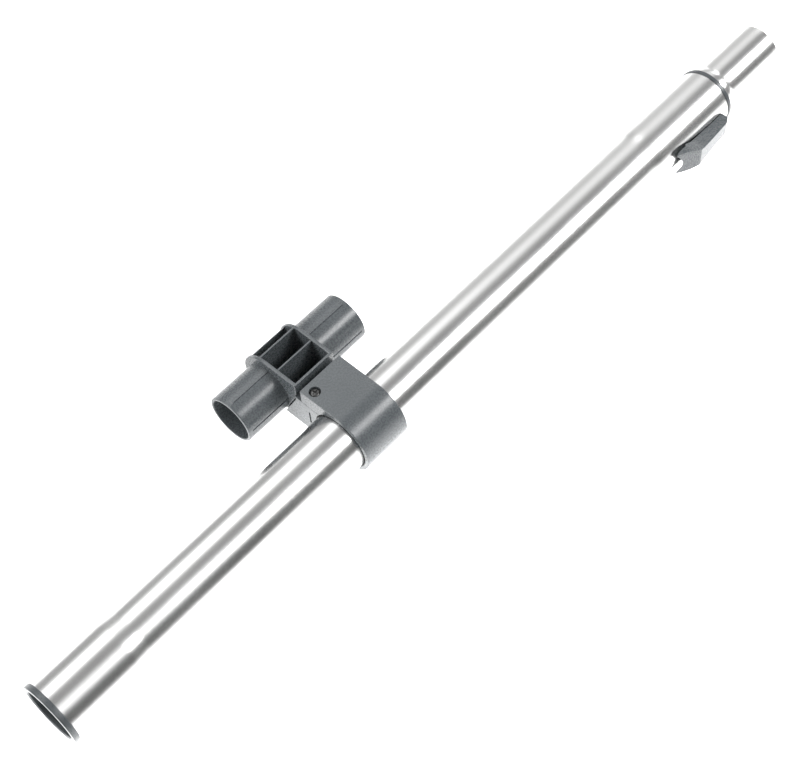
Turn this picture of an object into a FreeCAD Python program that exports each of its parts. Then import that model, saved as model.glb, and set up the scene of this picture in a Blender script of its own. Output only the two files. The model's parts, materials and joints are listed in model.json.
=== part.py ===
import FreeCAD, Part
import math
import os
import Sketcher
from FreeCAD import Vector, Placement, Rotation

# Telescopic vacuum wand, 32 mm system, pushed together, lying at rest.
# X runs along the tubes from the start of the socket's wall (x = 0) to the spigot, Z is up,
# the accessory holder is on the +Y side and the release lever on the -Y side.
# All lengths are in millimetres.

DIM = {
    # outer tube
    "ring_thk": 2.9, "lip": 0.7, "flare_rad": 19.25, "flare_end": 46.0, "neck_end": 59.0,
    "tube_rad": 18.1, "tube_wall": 0.8, "upneck_start": 475.0, "upneck_end": 490.0,
    "upflare_rad": 19.05, "tube_end": 548.8,
    "slot_start": 516.8, "slot_end": 539.0, "slot_half": 4.4,
    # inner tube
    "inner_start": 50.0, "inner_rad": 16.9, "inner_wall": 0.9, "shoulder_start": 555.0,
    "shoulder_end": 561.0, "spigot_rad": 16.0, "total_len": 606.5,
    "notch_pos": 534.5, "notch_len": 4.4, "notch_half": 3.0, "notch_deep": 0.5,
    "notch_pitch": 25.0, "notch_count": 16,
    # socket bush
    "ring_rad": 19.7, "bush_rad": 18.42, "bush_end": 41.0, "bush_bore": 16.2, "mouth_rad": 16.9,
    # guide sleeve
    "sleeve_start": 492.9, "sleeve_rad": 18.22, "sleeve_bore": 17.2, "collar_rad": 19.5,
    "collar_end": 551.9, "ear_in": 1.9, "ear_thk": 1.7, "ear_half": 3.8, "ear_top": 23.6, "ear_foot": 17.4,
    "window_half_len": 4.0, "window_half": 3.0,
    # felt ring
    "felt_start": 490.5, "felt_end": 492.8, "felt_rad": 18.2,
    # lever
    "pad_half": 8.8, "lever_half": 5.1, "tip_half": 7.3, "tip_pos": 493.9, "tip_rad": 20.9, "ramp_pos": 508.5, "ramp_rad": 28.6,
    "back_pos": 537.6, "back_rad": 26.0, "end_pos": 542.4, "end_rad": 23.4,
    "saddle_rad": 19.4, "saddle_tilt": 3.3, "arch_rad": 14.3, "arch_top": 22.6, "arch_end": 504.0, "rib_deep": 0.35, "rib_count": 9,
    "hollow_start": 509.6, "hollow_end": 538.2, "hollow_half": 3.9, "hollow_top": 24.2,
    "pivot_pos": 522.0, "pivot_rad": 22.0, "pin_rad": 1.0, "pin_len": 9.6, "pin_gap": 0.02, "pin_run": 0.05,
    # tooth and spring
    "tooth_thk": 3.0, "tooth_half": 2.5, "tooth_tip": 17.2, "tooth_top": 24.2, "tooth_bevel": 0.8,
    "spring_pos": 510.2, "spring_foot": 19.1, "spring_top": 24.15, "leaf_thk": 0.35, "leaf_half": 1.6,
    # rear ring and seal
    "rear_start": 44.0, "rear_rad": 17.0, "rear_bore": 15.0, "rear_neck": 15.97, "rear_end": 68.0,
    "groove_start": 45.5, "groove_end": 48.5, "groove_rad": 15.55, "seal_rad": 16.27, "seal_wire": 0.66,
    # holder
    "peg_dist": 56.7, "peg_rad": 15.75, "peg_bore": 13.85, "peg_start": 184.0, "peg_end": 279.0, "peg_round": 0.8,
    "fin_wide": 3.4, "fin_tall": 0.115, "fin_gap": 3.0,
    "wall_in": 33.8, "block_top": 20.3, "block_low": 17.6, "flange_thk": 2.2, "block_start": 215.6, "block_end": 246.6,
    "slope_low_y": 45.7, "slope_low_z": 13.7, "slope_top_z": 9.9,
    "web_thk": 1.6, "web_in": 43.9, "web_out": 70.0, "fin_low": 14.0, "fin_a": 62.9, "fin_b": 48.7, "fin_thk": 1.2, "wall_thk": 1.6, "back_y": 71.4, "back_thk": 1.2, "back_top": 12.4,
    "arm_low": 14.4, "arm_back": 1.05, "arm_start": 214.8, "arm_end": 246.8,
    "clamp_rad": 21.65, "clamp_bore": 18.75, "seam_y": 29.0, "seam_z": 10.9, "seam_gap": 0.16,
    "seam_angle": 35.5, "split_angle": 233.0,
    "core_start": 226.0, "core_end": 244.0, "core_in": 23.6, "core_out": 33.2, "core_deep": 22.0,
    "mark_y": 22.9, "mark_wide": 1.2, "mark_half": 5.4, "mark_deep": 0.8,
    # screw
    "screw_x": 220.2, "screw_y": 22.3, "sink_rad": 3.5, "sink_deep": 2.6, "hole_rad": 1.75,
    "head_rad": 3.0, "head_tall": 2.0, "shank_rad": 1.45, "screw_len": 20.0, "pilot_rad": 1.47,
    "cross_half": 1.75, "cross_wide": 0.7, "cross_deep": 1.1,
    # liner
    "liner_rad": 18.7, "liner_in": 18.13, "liner_start": 216.0, "liner_end": 245.6, "liner_turn": 350.0,
    # the holder side hangs down until it touches the surface the wand lies on
    "roll": 4.1,
}

doc = FreeCAD.newDocument("telescopic_wand")
sheet = doc.addObject("Spreadsheet::Sheet", "dims")
for row, (key, number) in enumerate(DIM.items(), 1):
    sheet.set("A%d" % row, key)
    sheet.set("B%d" % row, str(number))
    sheet.setAlias("B%d" % row, key)
doc.recompute()


class Q:
    """A length together with the sheet expression that it comes from."""

    def __init__(self, value, text):
        self.value, self.text = float(value), text

    @staticmethod
    def of(other):
        return other if isinstance(other, Q) else Q(other, "(%.9g)" % other)

    def join(self, other, sign, value):
        return Q(value, "(%s %s %s)" % (self.text, sign, Q.of(other).text))

    def __add__(self, o):
        return self.join(o, "+", self.value + Q.of(o).value)

    def __sub__(self, o):
        return self.join(o, "-", self.value - Q.of(o).value)

    def __mul__(self, o):
        return self.join(o, "*", self.value * Q.of(o).value)

    def __truediv__(self, o):
        return self.join(o, "/", self.value / Q.of(o).value)

    def __neg__(self):
        return Q(-self.value, "(-1 * %s)" % self.text)


def d(name):
    return Q(DIM[name], "dims." + name)


def cosd(radius, angle):
    return Q(radius.value * math.cos(math.radians(angle.value)), "(%s * cos(%s * 1deg))" % (radius.text, angle.text))


def sind(radius, angle):
    return Q(radius.value * math.sin(math.radians(angle.value)), "(%s * sin(%s * 1deg))" % (radius.text, angle.text))


def half_neck(long, tall):
    """Radius of each of the two equal arcs that make a smooth neck of this length and rise."""
    a, b = long / 2, tall / 2
    return (a * a + b * b) / (b * 2)


def body(name):
    made = doc.addObject("PartDesign::Body", name)
    made.Label = name
    return made


def plane(owner, role):
    return [f for f in owner.Origin.OriginFeatures if f.Role == role][0]


def sketch(owner, name, role, offset=None):
    made = owner.newObject("Sketcher::SketchObject", name)
    made.AttachmentSupport = [(plane(owner, role), "")]
    made.MapMode = "FlatFace"
    if offset is not None:
        made.AttachmentOffset = Placement(Vector(0, 0, offset.value), Rotation())
        made.setExpression("AttachmentOffset.Base.z", offset.text)
    return made


def datum(sk, kind, args, quantity):
    index = sk.addConstraint(Sketcher.Constraint(kind, *args, quantity.value))
    label = "%s_c%d" % (sk.Name, index)
    sk.renameConstraint(index, label)
    sk.setExpression("Constraints." + label, quantity.text)


def place_point(sk, geo, pos, x, y):
    """Tie one point of the sketch to its two coordinates."""
    x, y = Q.of(x), Q.of(y)
    if abs(x.value) < 1e-9:
        sk.addConstraint(Sketcher.Constraint("PointOnObject", geo, pos, -2))
    else:
        datum(sk, "DistanceX", (-1, 1, geo, pos), x)
    if abs(y.value) < 1e-9:
        sk.addConstraint(Sketcher.Constraint("PointOnObject", geo, pos, -1))
    else:
        datum(sk, "DistanceY", (-1, 1, geo, pos), y)


def outline(sk, corners):
    """Closed outline. Each corner is (x, y) or (x, y, radius, left); the last two bend the edge
    that leaves the corner into an arc, left being True where the edge turns left."""
    count = len(corners)
    pts = [Vector(Q.of(c[0]).value, Q.of(c[1]).value, 0) for c in corners]
    geos = []
    for i, c in enumerate(corners):
        a, b = pts[i], pts[(i + 1) % count]
        if len(c) == 2:
            geos.append((sk.addGeometry(Part.LineSegment(a, b), False), 1, 2))
            continue
        radius, left, wide = c[2], c[3], (len(c) > 4 and c[4])
        mid, along = (a + b) * 0.5, (b - a)
        side = Vector(-along.y, along.x, 0).normalize()
        reach = math.sqrt(max(radius.value ** 2 - (along.Length / 2) ** 2, 0.0))
        turn = 1.0 if left else -1.0
        centre = mid + side * (turn * reach * (-1.0 if wide else 1.0))
        a0 = math.atan2(a.y - centre.y, a.x - centre.x)
        a1 = math.atan2(b.y - centre.y, b.x - centre.x)
        circle = Part.Circle(centre, Vector(0, 0, 1), radius.value)
        if left:
            geos.append((sk.addGeometry(Part.ArcOfCircle(circle, a0, a1 if a1 > a0 else a1 + 2 * math.pi), False), 1, 2))
        else:
            geos.append((sk.addGeometry(Part.ArcOfCircle(circle, a1, a0 if a0 > a1 else a0 + 2 * math.pi), False), 2, 1))
        datum(sk, "Radius", (geos[-1][0],), radius)
    for i in range(count):
        sk.addConstraint(Sketcher.Constraint("Coincident", geos[i][0], geos[i][2], geos[(i + 1) % count][0], geos[(i + 1) % count][1]))
    for i, c in enumerate(corners):
        place_point(sk, geos[i][0], geos[i][1], c[0], c[1])


def round_hole(sk, x, y, radius):
    geo = sk.addGeometry(Part.Circle(Vector(Q.of(x).value, Q.of(y).value, 0), Vector(0, 0, 1), radius.value), False)
    datum(sk, "Radius", (geo,), radius)
    place_point(sk, geo, 3, x, y)


def rect(x0, x1, y0, y1):
    return [(x0, y0), (x1, y0), (x1, y1), (x0, y1)]


def revolve(owner, sk, name, axis="H_Axis", angle=None):
    doc.recompute()
    made = owner.newObject("PartDesign::Revolution", name)
    made.Profile = sk
    made.ReferenceAxis = (sk, [axis])
    made.Angle = 360.0
    if angle is not None:
        made.Angle = angle.value
        made.setExpression("Angle", angle.text)
    doc.recompute()
    return made


def pad(owner, sk, name, length, middle=False, back=False):
    doc.recompute()
    made = owner.newObject("PartDesign::Pad", name)
    made.Profile = sk
    made.Length = length.value
    made.setExpression("Length", length.text)
    if middle:
        if hasattr(made, "SideType"):
            made.SideType = "Symmetric"
        else:
            made.Midplane = True
    made.Reversed = back
    doc.recompute()
    return made


def pocket(owner, sk, name, length, back=False, middle=False):
    """Cut, and make sure that it took material away."""
    doc.recompute()
    before = owner.Shape.Volume
    made = owner.newObject("PartDesign::Pocket", name)
    made.Profile = sk
    made.Length = length.value
    made.setExpression("Length", length.text)
    if middle:
        if hasattr(made, "SideType"):
            made.SideType = "Symmetric"
        else:
            made.Midplane = True
    made.Reversed = back
    doc.recompute()
    taken = before - owner.Shape.Volume
    print("cut %-22s takes %.2f mm3" % (name, taken))
    if taken < 0.05:
        raise RuntimeError("the cut %s takes nothing away" % name)
    return made


parts = {}
# the holder, and the lever straight across from it, turned about the tube axis as they come to rest
hang = Placement(Vector(0, 0, 0), Rotation(Vector(1, 0, 0), -DIM["roll"]))

# ---------------------------------------------------------------- outer tube
wall = d("tube_wall")
b = body("outer_tube")
sk = sketch(b, "outer_tube_section", "XY_Plane")
low_mid = (d("flare_end") + d("neck_end")) / 2
up_mid = (d("upneck_start") + d("upneck_end")) / 2
low_arc = half_neck(d("neck_end") - d("flare_end"), d("flare_rad") - d("tube_rad"))
up_arc = half_neck(d("upneck_end") - d("upneck_start"), d("upflare_rad") - d("tube_rad"))
low_mr = (d("flare_rad") + d("tube_rad")) / 2
up_mr = (d("upflare_rad") + d("tube_rad")) / 2
outline(sk, [
    (d("ring_thk"), d("flare_rad")),
    (d("flare_end"), d("flare_rad"), low_arc, False),
    (low_mid, low_mr, low_arc, True),
    (d("neck_end"), d("tube_rad")),
    (d("upneck_start"), d("tube_rad"), up_arc, True),
    (up_mid, up_mr, up_arc, False),
    (d("upneck_end"), d("upflare_rad")),
    (d("tube_end"), d("upflare_rad")),
    (d("tube_end"), d("upflare_rad") - wall),
    (d("upneck_end"), d("upflare_rad") - wall, up_arc, True),
    (up_mid, up_mr - wall, up_arc, False),
    (d("upneck_start"), d("tube_rad") - wall),
    (d("neck_end"), d("tube_rad") - wall, low_arc, False),
    (low_mid, low_mr - wall, low_arc, True),
    (d("flare_end"), d("flare_rad") - wall),
    (d("ring_thk"), d("flare_rad") - wall),
])
revolve(b, sk, "outer_tube_turned")
sk = sketch(b, "lever_slot_outline", "XZ_Plane")
outline(sk, rect(d("slot_start"), d("slot_end"), -d("slot_half"), d("slot_half")))
pocket(b, sk, "lever_slot", d("upflare_rad") + 6, back=True)
b.Placement = hang
parts["outer_tube"] = b

# ---------------------------------------------------------------- inner tube
wall = d("inner_wall")
b = body("inner_tube")
sk = sketch(b, "inner_tube_section", "XY_Plane")
sh_mid = (d("shoulder_start") + d("shoulder_end")) / 2
sh_mr = (d("inner_rad") + d("spigot_rad")) / 2
sh_arc = half_neck(d("shoulder_end") - d("shoulder_start"), d("inner_rad") - d("spigot_rad"))
outline(sk, [
    (d("inner_start"), d("inner_rad")),
    (d("shoulder_start"), d("inner_rad"), sh_arc, False),
    (sh_mid, sh_mr, sh_arc, True),
    (d("shoulder_end"), d("spigot_rad")),
    (d("total_len") - 0.3, d("spigot_rad")),
    (d("total_len"), d("spigot_rad") - 0.3),
    (d("total_len"), d("spigot_rad") - wall),
    (d("shoulder_end"), d("spigot_rad") - wall, sh_arc, False),
    (sh_mid, sh_mr - wall, sh_arc, True),
    (d("shoulder_start"), d("inner_rad") - wall),
    (d("inner_start"), d("inner_rad") - wall),
])
revolve(b, sk, "inner_tube_turned")
# row of shallow lock notches along the side under the lever
sk = sketch(b, "notch_outline", "XZ_Plane", d("inner_rad") - d("notch_deep"))
outline(sk, rect(d("notch_pos") - d("notch_len") / 2, d("notch_pos") + d("notch_len") / 2, -d("notch_half"), d("notch_half")))
cut = pocket(b, sk, "notch", d("notch_deep") + 2, back=True)
row = b.newObject("PartDesign::LinearPattern", "notch_row")
row.Originals = [cut]
row.Direction = (sk, ["H_Axis"])
row.Reversed = True
reach = d("notch_pitch") * (d("notch_count") - 1)
row.Length = reach.value
row.setExpression("Length", reach.text)
row.Occurrences = int(DIM["notch_count"])
row.setExpression("Occurrences", "dims.notch_count")
b.Tip = row
doc.recompute()
b.Placement = hang
parts["inner_tube"] = b

# ---------------------------------------------------------------- socket bush
b = body("socket_bush")
sk = sketch(b, "socket_bush_section", "XY_Plane")
outline(sk, [
    (-d("lip"), d("mouth_rad")),
    (-d("lip"), d("ring_rad") - 0.7),
    (d("lip") * -0.7, d("ring_rad") - 0.2),
    (Q.of(0.0), d("ring_rad")),
    (d("ring_thk") - 0.5, d("ring_rad")),
    (d("ring_thk") - 0.02, d("ring_rad") - 0.35),
    (d("ring_thk") - 0.02, d("bush_rad")),
    (d("bush_end"), d("bush_rad")),
    (d("bush_end"), d("bush_bore")),
    (Q.of(0.0), d("bush_bore")),
])
revolve(b, sk, "socket_bush_turned")
parts["socket_bush"] = b

# ---------------------------------------------------------------- guide sleeve with the end collar
b = body("guide_sleeve")
sk = sketch(b, "guide_sleeve_section", "XY_Plane")
outline(sk, [
    (d("sleeve_start"), d("sleeve_bore")),
    (d("sleeve_start"), d("sleeve_rad")),
    (d("tube_end") + 0.02, d("sleeve_rad")),
    (d("tube_end") + 0.02, d("collar_rad")),
    (d("collar_end") - 0.5, d("collar_rad")),
    (d("collar_end"), d("collar_rad") - 0.5),
    (d("collar_end"), d("sleeve_bore") + 0.4),
    (d("collar_end") - 0.4, d("sleeve_bore")),
])
revolve(b, sk, "guide_sleeve_turned")
for name, low in (("upper", d("ear_in")), ("lower", -(d("ear_in") + d("ear_thk")))):
    sk = sketch(b, "%s_ear_outline" % name, "XY_Plane", low)
    outline(sk, [
        (d("pivot_pos") - d("ear_half"), -d("ear_foot")),
        (d("pivot_pos") - d("ear_half"), -d("pivot_rad")),
        (d("pivot_pos") - d("ear_half") / 2, -d("ear_top")),
        (d("pivot_pos") + d("ear_half") / 2, -d("ear_top")),
        (d("pivot_pos") + d("ear_half"), -d("pivot_rad")),
        (d("pivot_pos") + d("ear_half"), -d("ear_foot")),
    ])
    pad(b, sk, "%s_ear" % name, d("ear_thk"))
sk = sketch(b, "ear_hole_outline", "XY_Plane")
round_hole(sk, d("pivot_pos"), -d("pivot_rad"), d("pin_rad") + d("pin_run"))
pocket(b, sk, "ear_hole", Q.of(16.0), middle=True)
sk = sketch(b, "tooth_window_outline", "XZ_Plane")
outline(sk, rect(d("notch_pos") - d("window_half_len"), d("notch_pos") + d("window_half_len"), -d("window_half"), d("window_half")))
pocket(b, sk, "tooth_window", d("sleeve_rad") + 1.5, back=True)
b.Placement = hang
parts["guide_sleeve"] = b

# ---------------------------------------------------------------- felt ring behind the sleeve
b = body("felt_ring")
sk = sketch(b, "felt_ring_section", "XY_Plane")
outline(sk, rect(d("felt_start"), d("felt_end"), d("sleeve_bore"), d("felt_rad")))
revolve(b, sk, "felt_ring_turned")
parts["felt_ring"] = b

# ---------------------------------------------------------------- release lever
b = body("lever_blank")
sk = sketch(b, "lever_side_view", "XY_Plane")
run = (d("ramp_pos") - d("tip_pos"))
rise = (d("ramp_rad") - d("tip_rad"))
length = math.hypot(run.value, rise.value)
nx, ny = rise.value / length, run.value / length
side_view = [(d("tip_pos"), -d("tip_rad"))]
# thumb ramp with fine cross ribs
ribs = int(DIM["rib_count"])
for i in range(ribs):
    for step, sunk in ((0.28, 0), (0.40, 1), (0.80, 1), (0.92, 0)):
        f = 0.06 + 0.88 * (i + step) / ribs
        x = d("tip_pos") + run * f
        y = -(d("tip_rad") + rise * f)
        if sunk:
            x = x + d("rib_deep") * nx
            y = y + d("rib_deep") * ny
        side_view.append((x, y))
side_view += [
    (d("ramp_pos"), -d("ramp_rad")),
    (d("back_pos"), -d("back_rad")),
    (d("back_pos") + 1.2, -(d("back_rad") - 0.5)),
    (d("end_pos"), -d("end_rad")),
    (d("end_pos"), -(d("saddle_rad") - 4)),
    (d("tip_pos") + 6, -(d("saddle_rad") - 4)),
    (d("tip_pos") + 1.2, -(d("tip_rad") - 1.4)),
]
outline(sk, side_view)
pad(b, sk, "lever_solid", d("pad_half") * 2, middle=True)
# seen from outside: a rounded thumb pad, wider than the body of the lever behind it
for name, way in (("upper", 1.0), ("lower", -1.0)):
    sk = sketch(b, "%s_pad_outline" % name, "XZ_Plane")
    wide, tip, slim = d("pad_half"), d("tip_half"), d("lever_half")
    edge = [
        (d("tip_pos") - 4, tip), (d("tip_pos"), tip), (d("tip_pos") + 1.2, wide - 0.55), (d("tip_pos") + 3, wide - 0.08),
        (d("tip_pos") + 7.5, wide), (d("ramp_pos") - 4, wide - 0.3), (d("ramp_pos") - 2, wide - 1.0), (d("ramp_pos") - 0.8, wide - 1.9),
        (d("ramp_pos") - 0.1, slim + 0.8), (d("ramp_pos") + 0.2, slim), (d("end_pos") + 4, slim), (d("end_pos") + 4, wide + 4), (d("tip_pos") - 4, wide + 4),
    ]
    outline(sk, [(x, z * way) for x, z in edge])
    pocket(b, sk, "%s_pad_cut" % name, d("ramp_rad") + 6, back=True)
sk = sketch(b, "lever_hollow_outline", "XZ_Plane")
outline(sk, rect(d("hollow_start"), d("hollow_end"), -d("hollow_half"), d("hollow_half")))
pocket(b, sk, "lever_hollow", d("hollow_top"), back=True)
sk = sketch(b, "lever_pin_hole_outline", "XY_Plane")
round_hole(sk, d("pivot_pos"), -d("pivot_rad"), d("pin_rad") + d("pin_gap"))
pocket(b, sk, "lever_pin_hole", d("pin_len") + 0.1, middle=True)
# underside: hugs the tube behind the pivot, stands clear of it under the thumb
hug = doc.addObject("Part::Cylinder", "saddle_straight")
hug.setExpression("Radius", "dims.saddle_rad")
hug.Height = 90
hug.Placement = Placement(Vector(DIM["pivot_pos"] - 50, 0, 0), Rotation(Vector(0, 1, 0), 90))
hug.setExpression("Placement.Base.x", "dims.pivot_pos - 50")
free = doc.addObject("Part::Cylinder", "saddle_tilted")
free.setExpression("Radius", "dims.saddle_rad")
free.Height = 45
tilt = math.radians(DIM["saddle_tilt"])
free.Placement = Placement(Vector(DIM["pivot_pos"], 0, 0), Rotation(Vector(0, 0, 1), Vector(-math.cos(tilt), -math.sin(tilt), 0)))
free.setExpression("Placement.Base.x", "dims.pivot_pos")
under = doc.addObject("Part::Fuse", "saddle_both")
under.Base, under.Tool = hug, free
# the thumb end is arched higher, which leaves its edge hollowed
arch = doc.addObject("Part::Cylinder", "tip_arch")
arch.setExpression("Radius", "dims.arch_rad")
arch.Height = 18
arch.setExpression("Height", "dims.arch_end - dims.tip_pos + 6")
arch.Placement = Placement(Vector(DIM["tip_pos"] - 6, DIM["arch_rad"] - DIM["arch_top"], 0), Rotation(Vector(0, 1, 0), 90))
arch.setExpression("Placement.Base.x", "dims.tip_pos - 6")
arch.setExpression("Placement.Base.y", "dims.arch_rad - dims.arch_top")
saddle = doc.addObject("Part::Fuse", "saddle")
saddle.Base, saddle.Tool = under, arch
lever = doc.addObject("Part::Cut", "release_lever")
lever.Base, lever.Tool = b, saddle
lever.Placement = hang
doc.recompute()
parts["release_lever"] = lever

# ---------------------------------------------------------------- lock tooth, pivot pin, return spring
b = body("lock_tooth")
sk = sketch(b, "lock_tooth_outline", "XY_Plane")
x0, x1 = d("notch_pos") - d("tooth_thk") / 2, d("notch_pos") + d("tooth_thk") / 2
outline(sk, [
    (x0, -d("tooth_top")), (x1, -d("tooth_top")), (x1, -(d("tooth_tip") + d("tooth_bevel"))),
    (x1 - d("tooth_bevel"), -d("tooth_tip")), (x0 + d("tooth_bevel"), -d("tooth_tip")), (x0, -(d("tooth_tip") + d("tooth_bevel"))),
])
pad(b, sk, "lock_tooth_plate", d("tooth_half") * 2, middle=True)
b.Placement = hang
parts["lock_tooth"] = b

pin = doc.addObject("Part::Cylinder", "lever_pin")
pin.setExpression("Radius", "dims.pin_rad")
pin.setExpression("Height", "dims.pin_len")
pin.Placement = hang.multiply(Placement(Vector(DIM["pivot_pos"], -DIM["pivot_rad"], -DIM["pin_len"] / 2), Rotation()))
across, along = cosd(d("pivot_rad"), d("roll")), sind(d("pivot_rad"), d("roll"))
pin_y = across * -1.0 - sind(d("pin_len") / 2, d("roll"))
pin_z = along - cosd(d("pin_len") / 2, d("roll"))
pin.setExpression("Placement.Base.x", "dims.pivot_pos")
pin.setExpression("Placement.Base.y", pin_y.text)
pin.setExpression("Placement.Base.z", pin_z.text)
parts["lever_pin"] = pin

b = body("lever_spring")
sk = sketch(b, "lever_spring_outline", "XY_Plane")
x0, foot, top, leaf = d("spring_pos"), d("spring_foot"), d("spring_top"), d("leaf_thk")
outline(sk, [
    (x0 + 5, -foot), (x0 + 0.4, -foot), (x0, -(foot + 0.4)),
    (x0 + 7, -top), (x0 + 7 + leaf * 1.4, -top), (x0 + leaf * 2.6, -(foot + leaf * 2)),
    (x0 + leaf * 2.6, -(foot + leaf)), (x0 + 5, -(foot + leaf)),
])
pad(b, sk, "lever_spring_leaf", d("leaf_half") * 2, middle=True)
b.Placement = hang
parts["lever_spring"] = b

# ---------------------------------------------------------------- ring and seal on the hidden end of the inner tube
b = body("rear_guide_ring")
sk = sketch(b, "rear_guide_ring_section", "XY_Plane")
outline(sk, [
    (d("rear_start"), d("rear_bore")),
    (d("rear_start"), d("rear_rad") - 0.4),
    (d("rear_start") + 0.4, d("rear_rad")),
    (d("groove_start"), d("rear_rad")),
    (d("groove_start"), d("groove_rad")),
    (d("groove_end"), d("groove_rad")),
    (d("groove_end"), d("rear_rad")),
    (d("inner_start") - 0.02, d("rear_rad")),
    (d("inner_start") - 0.02, d("rear_neck")),
    (d("rear_end"), d("rear_neck")),
    (d("rear_end"), d("rear_bore")),
])
revolve(b, sk, "rear_guide_ring_turned")
parts["rear_guide_ring"] = b

seal = doc.addObject("Part::Torus", "rear_seal")
seal.setExpression("Radius1", "dims.seal_rad")
seal.setExpression("Radius2", "dims.seal_wire")
seal.Placement = Placement(Vector((DIM["groove_start"] + DIM["groove_end"]) / 2, 0, 0), Rotation(Vector(0, 1, 0), 90))
seal.setExpression("Placement.Base.x", "(dims.groove_start + dims.groove_end) / 2")
parts["rear_seal"] = seal

# ---------------------------------------------------------------- accessory holder
b = body("holder_body")
peg_y = d("peg_dist")
low_y = peg_y + (d("block_top") - d("block_low"))
for name, start in (("near", d("block_start")), ("far", d("block_end") - d("flange_thk"))):
    sk = sketch(b, "%s_flange_outline" % name, "YZ_Plane", start)
    outline(sk, [
        (d("wall_in"), d("block_top")),
        (d("wall_in"), d("slope_top_z")),
        (d("slope_low_y"), -d("slope_low_z"), d("block_low"), True),
        (peg_y, -d("block_low")),
        (low_y, -d("block_low"), d("block_low"), True),
        (low_y + d("block_low"), Q.of(0.0), d("block_top"), True),
        (peg_y, d("block_top")),
    ])
    pad(b, sk, "%s_flange" % name, d("flange_thk"))
# hollow pegs, open at their outer ends
for name, start, stop in (("near", d("peg_start"), d("block_start") + 0.5), ("far", d("block_end") - 0.5, d("peg_end"))):
    sk = sketch(b, "%s_peg_outline" % name, "YZ_Plane", start)
    round_hole(sk, peg_y, Q.of(0.0), d("peg_rad"))
    round_hole(sk, peg_y, Q.of(0.0), d("peg_bore"))
    pad(b, sk, "%s_peg" % name, stop - start)
# ribs and walls of the block between the flanges
long = d("block_end") - d("block_start") - d("flange_thk")
first = d("block_start") + d("flange_thk") / 2
sk = sketch(b, "web_outline", "YZ_Plane", first)
outline(sk, rect(d("web_in"), d("web_out"), -d("fin_low"), -d("fin_low") + d("web_thk")))
pad(b, sk, "web", long)
for name, y in (("outer_fin", d("fin_a")), ("inner_fin", d("fin_b"))):
    sk = sketch(b, name + "_outline", "YZ_Plane", first)
    top = d("block_top") - 0.5 if name == "inner_fin" else d("block_top") - 1.2
    outline(sk, rect(y, y + d("fin_thk"), -d("fin_low"), top))
    pad(b, sk, name, long)
sk = sketch(b, "back_wall_outline", "YZ_Plane", first)
outline(sk, rect(d("back_y"), d("back_y") + d("back_thk"), -d("back_top"), d("back_top")))
pad(b, sk, "back_wall", long)
sk = sketch(b, "block_wall_outline", "YZ_Plane", first)
outline(sk, rect(d("wall_in"), d("wall_in") + d("wall_thk"), -d("arm_low") + 1, d("block_top")))
pad(b, sk, "block_wall", long)
# arm and lower half of the clamp
sk = sketch(b, "arm_outline", "YZ_Plane", d("arm_start"))
split, seam = d("split_angle"), d("seam_angle")
foot_y = Q(math.sqrt(DIM["clamp_rad"] ** 2 - DIM["arm_low"] ** 2), "sqrt(dims.clamp_rad * dims.clamp_rad - dims.arm_low * dims.arm_low)")
outline(sk, [
    (d("wall_in") + 1.0, d("seam_z")),
    (d("seam_y"), d("seam_z")),
    (cosd(d("clamp_bore"), seam), sind(d("clamp_bore"), seam), d("clamp_bore"), False, False),
    (cosd(d("clamp_bore"), split), sind(d("clamp_bore"), split)),
    (cosd(d("clamp_rad"), split), sind(d("clamp_rad"), split), d("clamp_rad"), True),
    (foot_y, -d("arm_low")),
    (d("slope_low_y") - d("arm_back"), -d("arm_low")),
    (d("slope_low_y") - d("arm_back") + 0.2, -d("slope_low_z")),
    (d("wall_in") + 1.0 - d("arm_back"), d("slope_top_z") - 1),
])
pad(b, sk, "arm", d("arm_end") - d("arm_start"))
# moulded-out hollow under the arm, vertical mark on the near side, pilot hole of the screw
sk = sketch(b, "core_outline", "XY_Plane", -(d("arm_low") + 2))
outline(sk, rect(d("core_start"), d("core_end"), d("core_in"), d("core_out")))
pocket(b, sk, "core", d("core_deep"), back=True)
sk = sketch(b, "mark_outline", "YZ_Plane", d("arm_start") + d("mark_deep"))
outline(sk, rect(d("mark_y"), d("mark_y") + d("mark_wide"), -d("mark_half"), d("mark_half")))
pocket(b, sk, "mark", Q.of(4.0))
sk = sketch(b, "pilot_outline", "XY_Plane", d("clamp_rad"))
round_hole(sk, d("screw_x"), d("screw_y"), d("pilot_rad"))
pocket(b, sk, "pilot", d("sink_deep") + d("screw_len") + 0.4)
# four low grip ribs along each peg
for name, start, stop in (("near", d("peg_start") + d("fin_gap"), d("block_start") + 0.4), ("far", d("block_end") - 0.4, d("peg_end") - d("fin_gap"))):
    sk = sketch(b, "%s_grip_outline" % name, "YZ_Plane", start)
    inner, outer, half = d("peg_rad") - 0.9, d("peg_rad") + d("fin_tall"), d("fin_wide") / 2
    outline(sk, rect(peg_y - half, peg_y + half, inner, outer))
    outline(sk, rect(peg_y - half, peg_y + half, -outer, -inner))
    outline(sk, rect(peg_y + inner, peg_y + outer, -half, half))
    outline(sk, rect(peg_y - outer, peg_y - inner, -half, half))
    pad(b, sk, "%s_grip" % name, stop - start)
b.Placement = hang
parts["holder_body"] = b

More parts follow.
